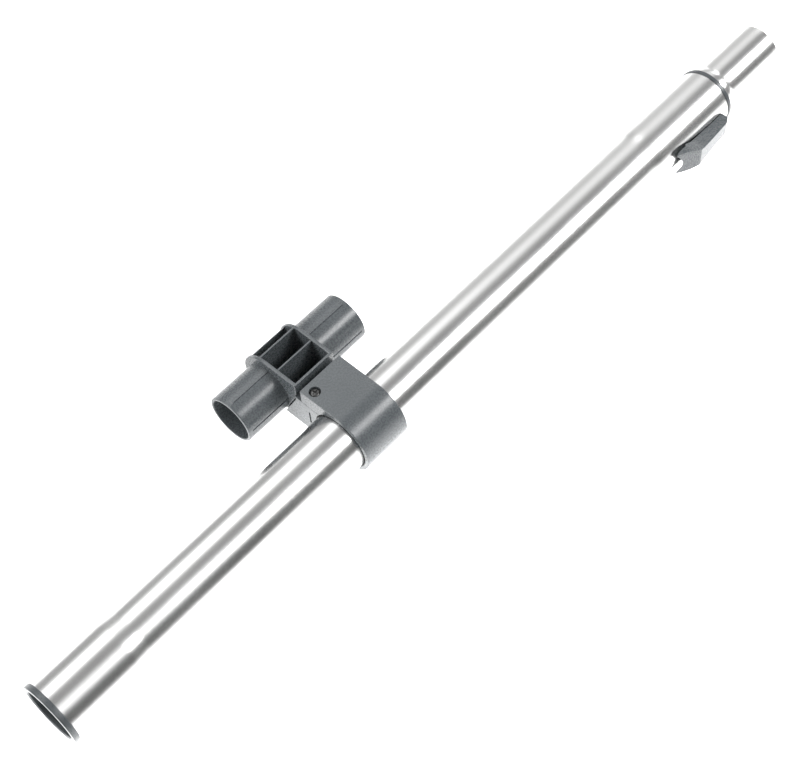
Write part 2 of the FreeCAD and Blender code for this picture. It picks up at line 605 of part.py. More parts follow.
# ---------------------------------------------------------------- clamp strap
b = body("clamp_strap")
sk = sketch(b, "clamp_strap_outline", "YZ_Plane", d("arm_start"))
split = d("split_angle") - 0.8
seam = d("seam_angle") + 0.6
outline(sk, [
    (d("seam_y"), d("clamp_rad")),
    (Q.of(0.0), d("clamp_rad"), d("clamp_rad"), True),
    (cosd(d("clamp_rad"), split), sind(d("clamp_rad"), split)),
    (cosd(d("clamp_bore"), split), sind(d("clamp_bore"), split), d("clamp_bore"), False, True),
    (cosd(d("clamp_bore"), seam), sind(d("clamp_bore"), seam)),
    (d("seam_y"), d("seam_z") + d("seam_gap")),
])
pad(b, sk, "strap", d("arm_end") - d("arm_start"))
sk = sketch(b, "sink_outline", "XY_Plane", d("clamp_rad"))
round_hole(sk, d("screw_x"), d("screw_y"), d("sink_rad"))
pocket(b, sk, "sink", d("sink_deep"))
sk = sketch(b, "strap_hole_outline", "XY_Plane", d("clamp_rad"))
round_hole(sk, d("screw_x"), d("screw_y"), d("hole_rad"))
pocket(b, sk, "strap_hole", Q.of(14.0))
b.Placement = hang
parts["clamp_strap"] = b

# ---------------------------------------------------------------- clamp screw
b = body("clamp_screw")
sk = sketch(b, "clamp_screw_section", "XZ_Plane")
seat = d("clamp_rad") - d("sink_deep")
outline(sk, [
    (Q.of(0.0), seat - d("screw_len")),
    (d("shank_rad") - 0.9, seat - d("screw_len")),
    (d("shank_rad"), seat - d("screw_len") + 2),
    (d("shank_rad"), seat),
    (d("head_rad"), seat),
    (d("head_rad"), seat + d("head_tall") / 2),
    (d("head_rad") - 0.5, seat + d("head_tall") - 0.35),
    (d("head_rad") - 1.4, seat + d("head_tall")),
    (Q.of(0.0), seat + d("head_tall")),
])
revolve(b, sk, "clamp_screw_turned", axis="V_Axis")
for name, along in (("cross_a", True), ("cross_b", False)):
    sk = sketch(b, name + "_outline", "XY_Plane", seat + d("head_tall"))
    half, thin = d("cross_half"), d("cross_wide") / 2
    outline(sk, rect(-half, half, -thin, thin) if along else rect(-thin, thin, -half, half))
    pocket(b, sk, name, d("cross_deep"))
b.Placement = hang.multiply(Placement(Vector(DIM["screw_x"], DIM["screw_y"], 0), Rotation()))
parts["clamp_screw"] = b

# ---------------------------------------------------------------- clamp liner, an open rubber band round the tube
b = body("clamp_liner")
sk = sketch(b, "clamp_liner_section", "XY_Plane")
outline(sk, rect(d("liner_start"), d("liner_end"), d("liner_in"), d("liner_rad")))
revolve(b, sk, "clamp_liner_band", angle=d("liner_turn"))
b.Placement = hang.multiply(Placement(Vector(0, 0, 0), Rotation(Vector(1, 0, 0), 30)))
parts["clamp_liner"] = b

# ---------------------------------------------------------------- test everything, then write the solids
doc.recompute()
for obj in doc.Objects:
    if "Invalid" in obj.State or "Error" in obj.State:
        raise RuntimeError("%s failed: %s" % (obj.Name, obj.State))
os.makedirs("parts", exist_ok=True)
for name, obj in parts.items():
    obj.Label = name
    shape = obj.Shape
    if shape.isNull() or not shape.isValid() or len(shape.Solids) != 1:
        raise RuntimeError("%s is not one valid solid (%d solids)" % (name, len(shape.Solids)))
    box = shape.BoundBox
    print("%-16s %9.1f mm3  x %.1f %.1f  y %.1f %.1f  z %.1f %.1f" % (name, shape.Volume, box.XMin, box.XMax, box.YMin, box.YMax, box.ZMin, box.ZMax))
for name, obj in parts.items():
    obj.Shape.exportStep(os.path.join("parts", name + ".step"))
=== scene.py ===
import json
import math
import bmesh
import bpy
from mathutils import Matrix, Vector


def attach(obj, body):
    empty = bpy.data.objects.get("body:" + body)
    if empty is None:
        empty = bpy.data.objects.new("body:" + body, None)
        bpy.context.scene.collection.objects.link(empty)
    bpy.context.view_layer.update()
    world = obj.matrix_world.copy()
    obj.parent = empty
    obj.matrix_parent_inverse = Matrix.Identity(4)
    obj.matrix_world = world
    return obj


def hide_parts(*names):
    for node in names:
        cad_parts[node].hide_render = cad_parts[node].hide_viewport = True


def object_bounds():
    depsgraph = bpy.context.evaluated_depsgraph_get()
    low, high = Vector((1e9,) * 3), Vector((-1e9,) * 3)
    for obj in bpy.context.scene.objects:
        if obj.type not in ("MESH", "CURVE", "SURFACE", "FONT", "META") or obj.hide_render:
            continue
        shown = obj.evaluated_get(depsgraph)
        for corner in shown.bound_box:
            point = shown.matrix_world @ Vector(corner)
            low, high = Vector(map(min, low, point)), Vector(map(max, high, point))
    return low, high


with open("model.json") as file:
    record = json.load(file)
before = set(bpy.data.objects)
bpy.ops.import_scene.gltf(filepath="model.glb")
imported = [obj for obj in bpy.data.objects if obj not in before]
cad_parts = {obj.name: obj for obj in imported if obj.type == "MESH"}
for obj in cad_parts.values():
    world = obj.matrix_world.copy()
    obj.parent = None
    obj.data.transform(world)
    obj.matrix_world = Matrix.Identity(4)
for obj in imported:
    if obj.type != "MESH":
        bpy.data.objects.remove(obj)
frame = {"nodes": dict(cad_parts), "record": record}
CAD_BOX = [list(v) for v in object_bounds()]
scene = bpy.context.scene
MM = 0.001
# the holder side hangs down onto the floor, and the lever straight across from it is turned up
HANG = Matrix.Rotation(math.radians(-4.1), 4, "X")


# ------------------------------------------------------------------ node helpers
def new_material(name):
    m = bpy.data.materials.new(name)
    m.use_nodes = True
    t = m.node_tree
    t.nodes.clear()
    out = t.nodes.new("ShaderNodeOutputMaterial")
    p = t.nodes.new("ShaderNodeBsdfPrincipled")
    t.links.new(p.outputs[0], out.inputs[0])
    return m, t, p


def coords(t, scale=(1, 1, 1)):
    c = t.nodes.new("ShaderNodeTexCoord")
    mp = t.nodes.new("ShaderNodeMapping")
    mp.inputs["Scale"].default_value = scale
    t.links.new(c.outputs["Object"], mp.inputs[0])
    return mp.outputs[0]


def noise(t, vec, scale, detail=3.0, rough=0.55):
    n = t.nodes.new("ShaderNodeTexNoise")
    n.inputs["Scale"].default_value = scale
    n.inputs["Detail"].default_value = detail
    n.inputs["Roughness"].default_value = rough
    t.links.new(vec, n.inputs["Vector"])
    return n.outputs["Fac"]


def ramp(t, fac, stops):
    r = t.nodes.new("ShaderNodeValToRGB")
    while len(r.color_ramp.elements) < len(stops):
        r.color_ramp.elements.new(0.5)
    for e, (pos, col) in zip(r.color_ramp.elements, stops):
        e.position = pos
        e.color = (*col, 1.0) if len(col) == 3 else col
    t.links.new(fac, r.inputs[0])
    return r.outputs[0]


def span(t, fac, a, b, c, d):
    m = t.nodes.new("ShaderNodeMapRange")
    m.inputs["From Min"].default_value = a
    m.inputs["From Max"].default_value = b
    m.inputs["To Min"].default_value = c
    m.inputs["To Max"].default_value = d
    t.links.new(fac, m.inputs["Value"])
    return m.outputs[0]


def mix_rgb(t, fac, a, b, mode="MIX"):
    m = t.nodes.new("ShaderNodeMix")
    m.data_type = "RGBA"
    m.blend_type = mode
    for sock, v in ((m.inputs[0], fac), (m.inputs[6], a), (m.inputs[7], b)):
        if hasattr(v, "is_linked"):
            t.links.new(v, sock)
        else:
            sock.default_value = v if not isinstance(v, tuple) else (*v, 1.0)
    return m.outputs[2]


def math_node(t, op, a, b):
    m = t.nodes.new("ShaderNodeMath")
    m.operation = op
    for sock, v in ((m.inputs[0], a), (m.inputs[1], b)):
        if hasattr(v, "is_linked"):
            t.links.new(v, sock)
        else:
            sock.default_value = v
    return m.outputs[0]


def bump(t, height, strength, distance, below=None):
    b = t.nodes.new("ShaderNodeBump")
    b.inputs["Strength"].default_value = strength
    b.inputs["Distance"].default_value = distance
    t.links.new(height, b.inputs["Height"])
    if below is not None:
        t.links.new(below, b.inputs["Normal"])
    return b.outputs[0]


# ------------------------------------------------------------------ materials
def steel(name, base, low, high):
    """Bright drawn tube: fine turning marks round the tube, faint long draw lines, a few dull patches."""
    m, t, p = new_material(name)
    p.inputs["Metallic"].default_value = 1.0
    turn = noise(t, coords(t, (2600, 90, 90)), 1.0, 2.0)
    draw = noise(t, coords(t, (7, 900, 900)), 1.0, 2.0)
    haze = noise(t, coords(t), 18.0, 4.0)
    mixed = math_node(t, "ADD", math_node(t, "MULTIPLY", turn, 0.2), math_node(t, "MULTIPLY", haze, 0.8))
    t.links.new(span(t, mixed, 0.35, 0.65, low, high), p.inputs["Roughness"])
    dark = tuple(c * 0.95 for c in base)
    t.links.new(mix_rgb(t, haze, dark, base), p.inputs["Base Color"])
    n = bump(t, turn, 0.035, 0.00004)
    n = bump(t, draw, 0.03, 0.00004, n)
    t.links.new(n, p.inputs["Normal"])
    p.inputs["Anisotropic"].default_value = 0.15
    p.inputs["Anisotropic Rotation"].default_value = 0.25
    g = t.nodes.new("ShaderNodeTangent")
    g.direction_type = "RADIAL"
    g.axis = "X"
    t.links.new(g.outputs[0], p.inputs["Tangent"])
    return m


def plastic(name, base, light, rough, grain=0.009):
    """Moulded plastic: fine spark-eroded grain, slight flow mottling."""
    m, t, p = new_material(name)
    vec = coords(t)
    flow = noise(t, vec, 55.0, 4.0)
    fine = noise(t, vec, 1700.0, 2.0)
    mid = noise(t, vec, 900.0, 2.0)
    colour = mix_rgb(t, span(t, flow, 0.3, 0.7, 0.0, 1.0), base, light)
    t.links.new(colour, p.inputs["Base Color"])
    t.links.new(span(t, mid, 0.3, 0.7, rough - 0.04, rough + 0.05), p.inputs["Roughness"])
    n = bump(t, fine, grain, 0.00006)
    n = bump(t, flow, 0.05, 0.0006, n)
    t.links.new(n, p.inputs["Normal"])
    return m


def plain(name, base, rough, metallic=0.0, scale=600.0, grain=0.15):
    m, t, p = new_material(name)
    vec = coords(t)
    n1 = noise(t, vec, scale, 3.0)
    t.links.new(mix_rgb(t, n1, tuple(c * 0.75 for c in base), tuple(min(1, c * 1.25) for c in base)), p.inputs["Base Color"])
    t.links.new(span(t, n1, 0.3, 0.7, max(rough - 0.07, 0.05), rough + 0.07), p.inputs["Roughness"])
    p.inputs["Metallic"].default_value = metallic
    t.links.new(bump(t, n1, grain, 0.0001), p.inputs["Normal"])
    return m


MAT = {
    "tube_steel": steel("drawn_tube_steel", (0.68, 0.68, 0.675), 0.21, 0.26),
    "inner_steel": steel("drawn_inner_steel", (0.68, 0.68, 0.675), 0.21, 0.26),
    "grey_plastic": plastic("grey_moulded_plastic", (0.062, 0.070, 0.075), (0.072, 0.080, 0.085), 0.27),
    "dark_plastic": plastic("dark_moulded_plastic", (0.046, 0.052, 0.056), (0.054, 0.060, 0.064), 0.30),
    "felt": plain("grey_felt", (0.30, 0.28, 0.26), 0.9, 0.0, 2500.0, 0.6),
    "small_steel": plain("plain_steel", (0.55, 0.55, 0.56), 0.32, 1.0),
    "screw_steel": plain("black_screw_steel", (0.07, 0.07, 0.07), 0.26, 0.7),
    "rubber": plain("black_rubber", (0.025, 0.025, 0.026), 0.62),
}
SLOT = {s["node"]: s["material_slot"] for s in frame["record"]["subparts"]}


def paint(obj, material):
    obj.data.materials.clear()
    obj.data.materials.append(material)


for name, obj in frame["nodes"].items():
    paint(obj, MAT[SLOT[name]])


# ------------------------------------------------------------------ mesh helpers
def link_mesh(me, name):
    ob = bpy.data.objects.new(name, me)
    scene.collection.objects.link(ob)
    return ob


def to_object(bm, name):
    bmesh.ops.recalc_face_normals(bm, faces=bm.faces)
    me = bpy.data.meshes.new(name)
    bm.to_mesh(me)
    bm.free()
    return link_mesh(me, name)


def smooth(ob, angle=32.0, weighted=False):
    for f in ob.data.polygons:
        f.use_smooth = True
    ob.data.set_sharp_from_angle(angle=math.radians(angle))
    if weighted:
        w = ob.modifiers.new("flat_faces", "WEIGHTED_NORMAL")
        w.mode = "FACE_AREA"
        w.weight = 60
        w.keep_sharp = True
    return ob


def neck(x0, r0, x1, r1, steps=14, bend=0.5):
    """Smooth S between two radii, both ends left out. bend is the share of the length that each end curves over."""
    out = []
    for i in range(1, steps):
        u = i / steps
        v = min(u, 1 - u)
        k = v * v / (2 * bend * (1 - bend)) if v < bend else (v - bend / 2) / (1 - bend)
        k = k if u < 0.5 else 1 - k
        out.append((x0 + (x1 - x0) * u, r0 + (r1 - r0) * k))
    return out


def line(x0, x1, r, steps):
    return [(x0 + (x1 - x0) * i / steps, r) for i in range(steps + 1)]


def arc(cx, cy, r, a0, a1, step=3.0):
    n = max(2, int(abs(a1 - a0) / step))
    return [(cx + r * math.cos(math.radians(a0 + (a1 - a0) * i / n)), cy + r * math.sin(math.radians(a0 + (a1 - a0) * i / n))) for i in range(n + 1)]


def lathe(name, loop, angles=None, count=160, hole=None, centre=(0.0, 0.0), swell=None):
    """Closed (x, r) loop turned about an axis along X. hole(x, angle) leaves faces out, swell(x, r, angle) adds to the radius."""
    bm = bmesh.new()
    if angles is None:
        angles = [2 * math.pi * i / count for i in range(count)]
    grid = []
    for x, r in loop:
        row = []
        for a in angles:
            q = r + (swell(x, r, a) if swell else 0.0)
            row.append(bm.verts.new((x * MM, (centre[0] + q * math.cos(a)) * MM, (centre[1] + q * math.sin(a)) * MM)))
        grid.append(row)
    n, k = len(loop), len(angles)
    for i in range(n):
        j = (i + 1) % n
        for q in range(k):
            w = (q + 1) % k
            if hole is not None:
                mid = (loop[i][0] + loop[j][0]) / 2
                ang = angles[q] + ((angles[w] - angles[q]) % (2 * math.pi)) / 2
                if hole(mid, ang):
                    continue
            bm.faces.new((grid[i][q], grid[j][q], grid[j][w], grid[i][w]))
    if hole is not None:
        # close the cut edges between the outer and the inner skin
        open_edges = [e for e in bm.edges if len(e.link_faces) == 1]
        if open_edges:
            bmesh.ops.bridge_loops(bm, edges=open_edges)
    return to_object(bm, name)


PUT = {"x": lambda u, v, w: (w, u, v), "y": lambda u, v, w: (u, w, v), "z": lambda u, v, w: (u, v, w)}


def round_edges(bm, radius, segments=3, sharp=40.0):
    edges = [e for e in bm.edges if len(e.link_faces) == 2 and e.calc_face_angle() > math.radians(sharp)]
    bmesh.ops.bevel(bm, geom=edges, offset=radius * MM, offset_type="OFFSET", segments=segments, profile=0.5, affect="EDGES", clamp_overlap=True)


def prism(name, outline, low, high, axis, radius=0.0, segments=3, sharp=40.0):
    """Outline pushed along an axis, with its sharp edges rounded."""
    bm = bmesh.new()
    put = PUT[axis]
    a = [bm.verts.new(tuple(c * MM for c in put(u, v, low))) for u, v in outline]
    b = [bm.verts.new(tuple(c * MM for c in put(u, v, high))) for u, v in outline]
    bm.faces.new(a)
    bm.faces.new(b)
    n = len(outline)
    for i in range(n):
        j = (i + 1) % n
        bm.faces.new((a[i], a[j], b[j], b[i]))
    bmesh.ops.recalc_face_normals(bm, faces=bm.faces)
    if radius:
        round_edges(bm, radius, segments, sharp)
    return to_object(bm, name)


def box(name, x0, x1, y0, y1, z0, z1, radius=0.0):
    return prism(name, [(y0, z0), (y1, z0), (y1, z1), (y0, z1)], x0, x1, "x", radius)


def rod(name, u, v, r, low, high, axis, count=48):
    return prism(name, [(u + r * math.cos(2 * math.pi * i / count), v + r * math.sin(2 * math.pi * i / count)) for i in range(count)], low, high, axis)


def carve(base, steps, name):
    """Joins to, cuts from or crosses one solid with others, in order, and keeps a single clean mesh."""
    for mode, other in steps:
        b = base.modifiers.new(mode, "BOOLEAN")
        b.operation = mode
        b.solver = "EXACT"
        b.object = other
    deps = bpy.context.evaluated_depsgraph_get()
    me = bpy.data.meshes.new_from_object(base.evaluated_get(deps))
    me.name = name
    for ob in [base] + [o for _, o in steps]:
        old = ob.data
        bpy.data.objects.remove(ob)
        bpy.data.meshes.remove(old)
    bm = bmesh.new()
    bm.from_mesh(me)
    bmesh.ops.remove_doubles(bm, verts=bm.verts, dist=2e-7)
    bmesh.ops.dissolve_degenerate(bm, edges=bm.edges, dist=2e-7)
    bmesh.ops.recalc_face_normals(bm, faces=bm.faces)
    bm.to_mesh(me)
    bm.free()
    return link_mesh(me, name)


def stand_for(ob, node, body):
    paint(ob, MAT[SLOT[node]])
    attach(ob, body)
    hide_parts(node)
    return ob


def hang(ob):
    ob.data.transform(HANG)
    return ob


# ------------------------------------------------------------------ outer tube
slot_half = math.asin(4.4 / 19.05)
even = [2 * math.pi * i / 180 for i in range(180)]
tube_angles = sorted([a for a in even if abs(abs(a - math.pi) - slot_half) > 0.012] + [math.pi - slot_half, math.pi + slot_half])


def in_slot(x, a):
    return 516.8 < x < 539.0 and abs(a - math.pi) < slot_half


def skin(off):
    return ([(2.95, 19.25 - off)] + line(4.0, 46.0, 19.25 - off, 6) + neck(46.0, 19.25 - off, 59.0, 18.1 - off, 20, 0.22)
            + line(59.0, 475.0, 18.1 - off, 40) + neck(475.0, 18.1 - off, 490.0, 19.05 - off)
            + line(490.0, 516.8, 19.05 - off, 5) + line(516.8, 539.0, 19.05 - off, 5)[1:] + line(539.0, 548.75, 19.05 - off, 2)[1:])


outer = lathe("outer_tube_skin", skin(0.0) + skin(0.8)[::-1], tube_angles, hole=in_slot)
stand_for(hang(smooth(outer)), "outer_tube", "outer")


# ------------------------------------------------------------------ inner tube with its row of lock notches
def inner_skin(off):
    return line(50.0, 555.0, 16.9 - off, 50) + neck(555.0, 16.9 - off, 561.0, 16.0 - off, 10) + line(561.0, 606.0, 16.0 - off, 8)


inner_loop = inner_skin(0.0) + [(606.25, 15.97), (606.42, 15.88), (606.5, 15.72), (606.5, 15.35), (606.4, 15.18)] + inner_skin(0.9)[::-1]
inner = lathe("inner_tube_turned", inner_loop, count=180)
bm = bmesh.new()
for i in range(16):
    x = 534.5 - 25.0 * i
    bmesh.ops.create_cube(bm, size=1.0, matrix=Matrix.Translation((x * MM, -17.4 * MM, 0)) @ Matrix.Diagonal((4.4 * MM, 2.0 * MM, 6.0 * MM, 1.0)))
inner = carve(inner, [("DIFFERENCE", to_object(bm, "notches"))], "inner_tube_skin")
stand_for(hang(smooth(inner, 20.0)), "inner_tube", "inner")

# ------------------------------------------------------------------ socket bush with its end ring
bush_loop = [(0.0, 16.2), (-0.35, 16.5), (-0.6, 16.75), (-0.68, 16.86), (-0.7, 17.0), (-0.7, 19.4), (-0.67, 19.53), (-0.58, 19.63), (-0.46, 19.69), (-0.3, 19.7),
             (2.5, 19.7), (2.68, 19.67), (2.8, 19.58), (2.87, 19.45), (2.88, 19.3), (2.88, 18.42)] + line(3.5, 41.0, 18.42, 4) + line(41.0, 1.0, 16.2, 6)
bush = lathe("socket_bush_skin", bush_loop, count=160)
stand_for(smooth(bush), "socket_bush", "outer")

# ------------------------------------------------------------------ guide sleeve with its end collar and the two ears of the lever
sleeve_loop = (line(492.9, 548.82, 18.22, 8) + [(548.82, 19.2), (548.9, 19.38), (549.08, 19.48), (549.3, 19.5), (551.2, 19.5), (551.55, 19.44), (551.78, 19.28), (551.9, 19.0),
               (551.9, 17.7), (551.82, 17.45), (551.6, 17.26), (551.3, 17.2)] + line(550.0, 492.9, 17.2, 8))
sleeve = lathe("sleeve_turned", sleeve_loop, count=144)
ear = [(518.2, -17.4), (518.2, -22.0), (520.1, -23.6), (523.9, -23.6), (525.8, -22.0), (525.8, -17.4)]
sleeve = carve(sleeve, [
    ("UNION", prism("ear_up", ear, 1.9, 3.6, "z", 0.25, 2)),
    ("UNION", prism("ear_low", ear, -3.6, -1.9, "z", 0.25, 2)),
    ("DIFFERENCE", rod("ear_hole", 522.0, -22.0, 1.05, -8.0, 8.0, "z", 32)),
    ("DIFFERENCE", box("tooth_window", 530.5, 538.5, -21.0, -14.0, -3.0, 3.0)),
], "guide_sleeve_skin")
stand_for(hang(smooth(sleeve)), "guide_sleeve", "outer")

# ------------------------------------------------------------------ accessory holder
PEG = 56.7


def rib(x, r, a):
    """Four low grip ribs along a peg, none at its outer rim, each with a fine groove at one side."""
    if not 15.7 < r < 15.8 or not (187.0 < x < 216.0 or 246.2 < x < 276.0):
        return 0.0
    d = ((a + math.pi / 4) % (math.pi / 2) - math.pi / 4) * 15.75
    if abs(d) < 1.62:
        return 0.2
    if 1.70 < d < 2.30 or (-2.30 < d < -1.70 and 0.75 * math.pi < a < 1.25 * math.pi):
        return -0.35
    return 0.0


rib_angles = []
for q in range(4):
    for d in (-2.36, -2.28, -1.72, -1.60, 0.0, 1.60, 1.72, 2.28, 2.36):
        rib_angles.append(q * math.pi / 2 + d / 15.75)
    first, last = 2.36 / 15.75, math.pi / 2 - 2.36 / 15.75
    rib_angles += [q * math.pi / 2 + first + (last - first) * i / 32 for i in range(1, 32)]
rib_angles = sorted(a % (2 * math.pi) for a in rib_angles)


def peg_loop(start, root, stop, s):
    """Wall of one peg from its open rim to the flange."""
    out = [(start + 0.55 * s, 13.85), (start + 0.22 * s, 13.95), (start + 0.05 * s, 14.15), (start, 14.45), (start, 15.15), (start + 0.08 * s, 15.42), (start + 0.26 * s, 15.62),
           (start + 0.55 * s, 15.73), (start + 0.9 * s, 15.75), (start + 2.9 * s, 15.75), (start + 3.1 * s, 15.751)]
    out += [(start + (3.1 + (abs(root - start) - 3.5) * i / 6) * s, 15.751) for i in range(1, 7)]
    out += [(root - 0.1 * s, 15.84), (root, 16.1), (stop, 16.1), (stop, 13.85)]
    return out


flange = ([(33.8, 20.3), (33.8, 9.9)] + arc(PEG, 0.0, 17.6, 231.3, 270.0, 2.5) + arc(PEG + 2.7, 0.0, 17.6, 270.0, 360.0, 2.5) + arc(PEG, 0.0, 20.3, 0.0, 90.0, 2.5)[1:])
near_flange = prism("near_flange", flange, 215.6, 217.8, "x", 0.45)
far_flange = prism("far_flange", flange, 244.4, 246.6, "x", 0.45)
near_peg = lathe("near_peg", peg_loop(184.0, 215.6, 216.6, 1), rib_angles, centre=(PEG, 0.0), swell=rib)
far_peg = lathe("far_peg", peg_loop(279.0, 246.6, 245.6, -1), rib_angles, centre=(PEG, 0.0), swell=rib)
web = box("web", 216.7, 245.5, 43.9, 70.0, -14.0, -12.4)
fin_a = box("fin_a", 216.7, 245.5, 62.9, 64.1, -13.9, 19.1, 0.3)
fin_b = box("fin_b", 216.7, 245.5, 48.7, 49.9, -13.9, 19.8, 0.3)
back = prism("back", [(71.4, -12.4), (72.6, -12.4), (72.6, 11.4), (71.4, 12.4)], 216.7, 245.5, "x", 0.25, 2)
wall = box("wall", 216.7, 245.5, 33.8, 35.4, -13.4, 20.3, 0.4)
foot_y = math.sqrt(21.65 ** 2 - 14.4 ** 2)
low_angle = math.degrees(math.atan2(-14.4, foot_y))
arm_line = ([(34.8, 10.9), (29.0, 10.9)] + arc(0, 0, 18.75, 35.5, -127.0, 3.0) + arc(0, 0, 21.65, -127.0, low_angle, 3.0) + [(44.65, -14.4), (44.85, -13.7), (33.75, 8.9)])
arm = prism("arm", arm_line, 214.8, 246.8, "x", 0.4)
holder = carve(arm, [
    ("UNION", near_flange), ("UNION", far_flange), ("UNION", wall), ("UNION", web), ("UNION", fin_a), ("UNION", fin_b), ("UNION", back),
    ("UNION", near_peg), ("UNION", far_peg),
    ("DIFFERENCE", box("core", 226.0, 244.0, 23.6, 33.2, -30.0, 5.6)),
    ("DIFFERENCE", box("mark", 210.0, 215.6, 22.9, 24.1, -5.4, 5.4)),
    ("DIFFERENCE", rod("pilot", 220.2, 22.3, 1.47, -1.4, 30.0, "z", 32)),
], "holder_body_skin")
stand_for(hang(smooth(holder, 30.0, True)), "holder_body", "outer")

# ------------------------------------------------------------------ clamp strap with its sunk screw seat
TOP_Z = 21.64
strap_line = ([(29.0, TOP_Z), (20.0, TOP_Z), (10.0, TOP_Z)] + arc(0, 0, TOP_Z, 90.0, 232.2, 2.0) + arc(0, 0, 18.75, 232.2, 36.1, 3.0) + [(29.0, 11.06)])
strap = prism("strap", strap_line, 214.8, 246.8, "x", 0.32)
strap = carve(strap, [("DIFFERENCE", rod("seat_cut", 220.2, 22.3, 3.5, 19.05, 24.0, "z", 64)), ("DIFFERENCE", rod("hole", 220.2, 22.3, 1.75, 5.0, 24.0, "z", 32))], "clamp_strap_skin")
stand_for(hang(smooth(strap, 30.0, True)), "clamp_strap", "outer")

# ------------------------------------------------------------------ cross-recess screw
head_loop = [(-0.95, 0.02), (-0.95, 0.55), (1.05, 1.45), (19.05, 1.45), (19.05, 2.9), (19.15, 3.0), (19.9, 3.0), (20.25, 2.92), (20.6, 2.65), (20.85, 2.2), (21.0, 1.6), (21.05, 0.8), (21.05, 0.02)]
screw = lathe("screw_turned", head_loop, count=48)
screw.data.transform(Matrix.Rotation(math.radians(-90), 4, "Y"))
cross = [(-1.75, -0.35), (-0.5, -0.5), (-0.35, -1.75), (0.35, -1.75), (0.5, -0.5), (1.75, -0.35), (1.75, 0.35), (0.5, 0.5), (0.35, 1.75), (-0.35, 1.75), (-0.5, 0.5), (-1.75, 0.35)]
screw = carve(screw, [("DIFFERENCE", prism("cross", cross, 19.95, 23.0, "z"))], "clamp_screw_skin")
screw.data.transform(Matrix.Translation((220.2 * MM, 22.3 * MM, 0)))
stand_for(hang(smooth(screw)), "clamp_screw", "outer")


# ------------------------------------------------------------------ release lever
def spline(points, per=6):
    """Smooth line through the points."""
    out = []
    pts = [points[0]] + list(points) + [points[-1]]
    for i in range(1, len(pts) - 2):
        p0, p1, p2, p3 = (Vector(pts[k]) for k in (i - 1, i, i + 1, i + 2))
        for s in range(per):
            u = s / per
            q = 0.5 * (2 * p1 + (p2 - p0) * u + (2 * p0 - 5 * p1 + 4 * p2 - p3) * u * u + (3 * p1 - p0 - 3 * p2 + p3) * u ** 3)
            out.append((q.x, q.y))
    out.append(tuple(points[-1]))
    return out


pad_side = spline([(493.9, 7.3), (494.6, 8.05), (496.0, 8.55), (498.6, 8.8), (502.0, 8.72), (504.8, 8.3), (507.0, 7.6), (509.2, 6.85), (512.0, 6.3), (516.0, 5.9), (521.0, 5.5), (526.0, 5.2)])
upper = pad_side + [(528.0, 5.1)] + arc(541.2, 3.9, 1.2, 90.0, 0.0, 10.0)
plan = upper + [(x, -z) for x, z in reversed(upper)]
plan_cut = prism("plan", plan, -40.0, -8.0, "y")
sunk = 0.28
slope = math.atan2(28.6 - 20.9, 508.5 - 493.9)
nx, nr = math.sin(slope), -math.cos(slope)
side = [(493.9 + sunk * nx, -(20.9 + sunk * nr)), (508.5 + sunk * nx * 0.4, -(28.6 + sunk * nr)), (537.6, -26.0), (538.8, -25.5), (542.4, -23.4), (542.4, -14.0), (499.9, -14.0), (495.1, -19.5)]
lever = carve(prism("lever_side", side, -8.8, 8.8, "z"), [("INTERSECT", plan_cut)], "lever_solid")
bm = bmesh.new()
bm.from_mesh(lever.data)
round_edges(bm, 0.42, 3, 35.0)
bm.to_mesh(lever.data)
bm.free()
cuts = []
for i in range(10):
    f = 0.115 + 0.80 * i / 9
    x, r = 493.9 + (508.5 - 493.9) * f, 20.9 + (28.6 - 20.9) * f
    half = 6.9 if f < 0.16 else 7.7 if f < 0.75 else 7.2 if f < 0.85 else 6.3
    bar = arc(0.0, 0.0, 0.42, 0.0, 360.0, 24.0)[:-1]
    cuts.append(("UNION", prism("rib_%d" % i, [(x + nx * 0.42 + u, -(r + nr * 0.42) + v) for u, v in bar], -half, half, "z")))
straight = rod("straight", 0.0, 0.0, 19.4, 480.0, 560.0, "x", 128)
tilted = rod("tilted", 0.0, 0.0, 19.4, -45.0, 0.0, "x", 128)
tilted.data.transform(Matrix.Translation((522.0 * MM, 0, 0)) @ Matrix.Rotation(math.radians(3.3), 4, "Z"))
tip_arch = rod("tip_arch", 14.3 - 22.6, 0.0, 14.3, 487.9, 504.0, "x", 128)
cuts += [("DIFFERENCE", straight), ("DIFFERENCE", tilted), ("DIFFERENCE", tip_arch),
         ("DIFFERENCE", box("hollow", 509.6, 538.2, -24.2, -10.0, -3.9, 3.9)), ("DIFFERENCE", rod("pin_hole", 522.0, -22.0, 1.02, -4.85, 4.85, "z", 32))]
lever = carve(lever, cuts, "release_lever_skin")
stand_for(hang(smooth(lever, 30.0, True)), "release_lever", "lever")

# ------------------------------------------------------------------ floor, light and camera
low_z = CAD_BOX[0][2]
bpy.ops.mesh.primitive_plane_add(size=14.0, location=(0.3, 0.0, low_z - 0.0002))
floor = bpy.context.object
floor.name = "floor"
m, t, p = new_material("pale_floor")
vec = coords(t)
n1 = noise(t, vec, 3.0, 3.0)
t.links.new(mix_rgb(t, n1, (0.83, 0.83, 0.83), (0.86, 0.86, 0.86)), p.inputs["Base Color"])
p.inputs["Roughness"].default_value = 0.85
p.inputs["Specular IOR Level"].default_value = 0.2
sep = t.nodes.new("ShaderNodeSeparateXYZ")
t.links.new(vec, sep.inputs[0])
across = span(t, sep.outputs["Y"], -0.5, 0.5, 0.0, 1.0)
